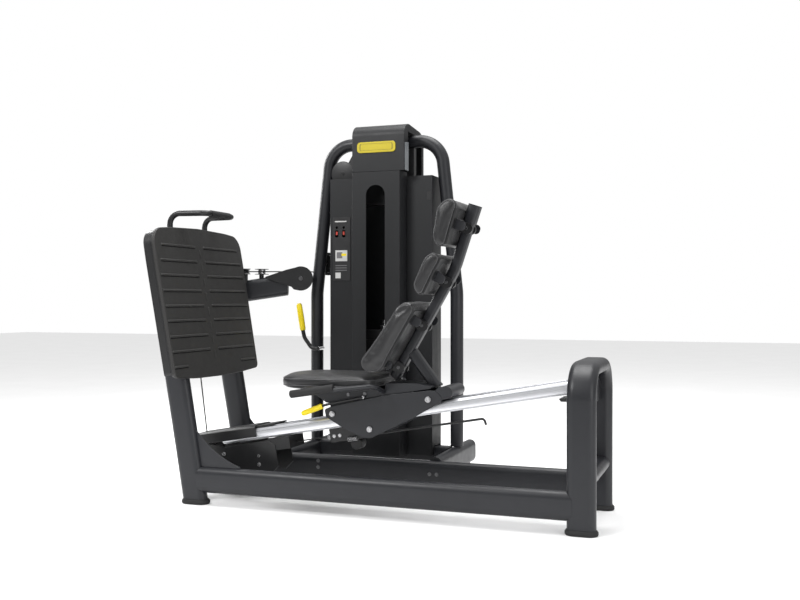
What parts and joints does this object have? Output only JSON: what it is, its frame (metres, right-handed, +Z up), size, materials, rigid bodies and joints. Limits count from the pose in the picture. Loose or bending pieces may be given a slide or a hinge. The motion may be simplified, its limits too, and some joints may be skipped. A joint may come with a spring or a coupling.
{
  "type": "leg press machine",
  "caption": "Seated leg press with a sliding padded seat on an inclined rail, a ribbed footplate and a shrouded weight stack tower joined by a cable over pulleys.",
  "frame": {"origin": "on the floor, under the middle of the machine's outer box", "axes": "+X from the footplate along the rail to the rear arch, +Y from the rail to the weight tower, +Z up"},
  "size_m": [1.6674, 1.0284, 1.475],
  "materials": {
    "frame_paint": "satin anthracite powder coat",
    "black_paint": "satin black paint",
    "shroud_paint": "fine-textured dark grey coat",
    "leatherette": "grained black leatherette with piping",
    "mat_rubber": "matt ribbed rubber",
    "cable_sheath": "smooth nylon-sheathed steel cable",
    "aluminium": "brushed anodised extrusion",
    "steel": "bright zinc-plated steel",
    "iron": "black enamelled iron",
    "plastic": "black nylon and ABS",
    "yellow": "glossy yellow plastic",
    "print": "printed card with plain blocks"
  },
  "bodies": {
    "machine": {"front_upright_near": "frame_paint", "front_upright_far": "frame_paint", "front_crossbar": "frame_paint", "base_tube_near": "frame_paint", "base_tube_far": "frame_paint", "rear_arch": "frame_paint", "rear_crossbar": "frame_paint", "rail_end_beam": "frame_paint", "rail": "aluminium", "rail_cover": "plastic", "pulley_housing": "black_paint", "tower_tie_left": "frame_paint", "tower_tie_right": "frame_paint", "tower_crossbar": "frame_paint", "tower_hoop": "frame_paint", "stack_guides": "steel", "weight_plates": "iron", "top_pulley_hanger": "black_paint", "arm_pulley_guard": "black_paint", "leg_pulley_guard": "black_paint", "arm_tube": "frame_paint", "centre_shroud": "shroud_paint", "side_shroud_left": "shroud_paint", "side_shroud_right": "shroud_paint", "rear_shroud": "shroud_paint", "tower_cap": "shroud_paint", "badge": "yellow", "placard": "print", "footplate_mat": "mat_rubber", "footplate_frame": "black_paint", "foot_handle": "black_paint", "cable_trolley": "cable_sheath", "cable_main": "cable_sheath"},
    "trolley_unit": {"trolley": "black_paint"},
    "weights": {"lifted_plates": "iron", "head_plate": "iron", "cable_drop": "cable_sheath"},
    "pin": {"selector_pin": "yellow"},
    "carriage": {"carriage_frame": "frame_paint", "seat_support": "frame_paint", "seat_cushion": "leatherette", "seat_handle_near": "frame_paint", "seat_handle_far": "frame_paint", "backrest_post": "frame_paint", "head_pad": "leatherette", "middle_pad": "leatherette", "lumbar_pad": "leatherette"},
    "front_wheels": {"wheels_front": "plastic"},
    "rear_wheels": {"wheels_rear": "plastic"},
    "lower_wheels": {"wheels_lower": "plastic"},
    "release": {"release_lever": "yellow"},
    "hand_lever": {"tower_lever": "yellow"},
    "pulley_front": {"front_pulley": "plastic"},
    "pulley_riser": {"riser_pulley": "plastic"},
    "pulley_rise": {"rise_pulley": "plastic"},
    "pulley_turn": {"turn_pulley": "plastic"},
    "pulley_arm": {"arm_pulley": "plastic"},
    "pulley_leg": {"leg_pulley": "plastic"},
    "pulley_side": {"top_pulley_side": "plastic"},
    "pulley_centre": {"top_pulley_centre": "plastic"}
  },
  "joints": [
    {"name": "press", "type": "slide", "parent": "machine", "child": "trolley_unit", "axis": [0.9845, 0, 0.1754], "range_m": [0, 0.3]},
    {"name": "stack_lift", "type": "slide", "parent": "machine", "child": "weights", "axis": [0, 0, 1], "range_m": [0, 0.3], "deforming": ["cable_drop"]},
    {"name": "pin_pull", "type": "slide", "parent": "weights", "child": "pin", "axis": [0, -1, 0], "range_m": [0, 0.05]},
    {"name": "seat_adjust", "type": "slide", "parent": "trolley_unit", "child": "carriage", "axis": [0.9845, 0, 0.1754], "range_m": [0, 0.1]},
    {"name": "front_wheels_roll", "type": "hinge", "parent": "carriage", "child": "front_wheels", "pos_m": [-0.14079, -0.1903, 0.33646], "axis": [0, 1, 0], "continuous": true},
    {"name": "rear_wheels_roll", "type": "hinge", "parent": "carriage", "child": "rear_wheels", "pos_m": [0.22594, -0.1903, 0.40179], "axis": [0, 1, 0], "continuous": true},
    {"name": "lower_wheels_roll", "type": "hinge", "parent": "carriage", "child": "lower_wheels", "pos_m": [0.00559, -0.1903, 0.28737], "axis": [0, 1, 0], "continuous": true},
    {"name": "front_pulley_turn", "type": "hinge", "parent": "machine", "child": "pulley_front", "pos_m": [-0.45068, -0.1903, 0.16303], "axis": [0, 1, 0], "continuous": true},
    {"name": "riser_pulley_turn", "type": "hinge", "parent": "machine", "child": "pulley_riser", "pos_m": [-0.6738, -0.1903, 0.19], "axis": [0, 1, 0], "continuous": true},
    {"name": "rise_pulley_turn", "type": "hinge", "parent": "machine", "child": "pulley_rise", "pos_m": [-0.79013, -0.15641, 0.839], "axis": [0.9969, -0.0787, 0], "continuous": true},
    {"name": "turn_pulley_turn", "type": "hinge", "parent": "machine", "child": "pulley_turn", "pos_m": [-0.7433, 0.1587, 0.873], "axis": [0, 0, 1], "continuous": true},
    {"name": "arm_pulley_turn", "type": "hinge", "parent": "machine", "child": "pulley_arm", "pos_m": [-0.5188, 0.2582, 0.843], "axis": [0.3216, -0.9469, 0], "continuous": true},
    {"name": "leg_pulley_turn", "type": "hinge", "parent": "machine", "child": "pulley_leg", "pos_m": [-0.4438, 0.3562, 0.909], "axis": [0, 1, 0], "continuous": true},
    {"name": "side_pulley_turn", "type": "hinge", "parent": "machine", "child": "pulley_side", "pos_m": [-0.3368, 0.3082, 1.29], "axis": [0, 1, 0], "continuous": true},
    {"name": "centre_pulley_turn", "type": "hinge", "parent": "machine", "child": "pulley_centre", "pos_m": [-0.1888, 0.3082, 1.296], "axis": [0, 1, 0], "continuous": true},
    {"name": "lever_swing", "type": "hinge", "parent": "machine", "child": "hand_lever", "pos_m": [-0.4388, 0.2502, 0.544], "axis": [0, -1, 0], "range_deg": [0, 30]},
    {"name": "release_pull", "type": "hinge", "parent": "carriage", "child": "release", "pos_m": [-0.0188, -0.2808, 0.402], "axis": [0, 1, 0], "range_deg": [0, 12], "stiffness_Nm_per_rad": 1.2, "springref_deg": -14.32}
  ],
  "couplings": [
    {"joint": "stack_lift", "follows": "press", "ratio": 1},
    {"joint": "front_wheels_roll", "follows": "press", "rad_per_m": 50},
    {"joint": "rear_wheels_roll", "follows": "press", "rad_per_m": 50},
    {"joint": "lower_wheels_roll", "follows": "press", "rad_per_m": -52.083},
    {"joint": "front_pulley_turn", "follows": "press", "rad_per_m": 33.333},
    {"joint": "riser_pulley_turn", "follows": "press", "rad_per_m": -29.412},
    {"joint": "rise_pulley_turn", "follows": "press", "rad_per_m": 29.412},
    {"joint": "turn_pulley_turn", "follows": "press", "rad_per_m": 45.455},
    {"joint": "arm_pulley_turn", "follows": "press", "rad_per_m": 33.333},
    {"joint": "leg_pulley_turn", "follows": "press", "rad_per_m": 27.778},
    {"joint": "side_pulley_turn", "follows": "press", "rad_per_m": -23.809},
    {"joint": "centre_pulley_turn", "follows": "press", "rad_per_m": -27.778}
  ]
}
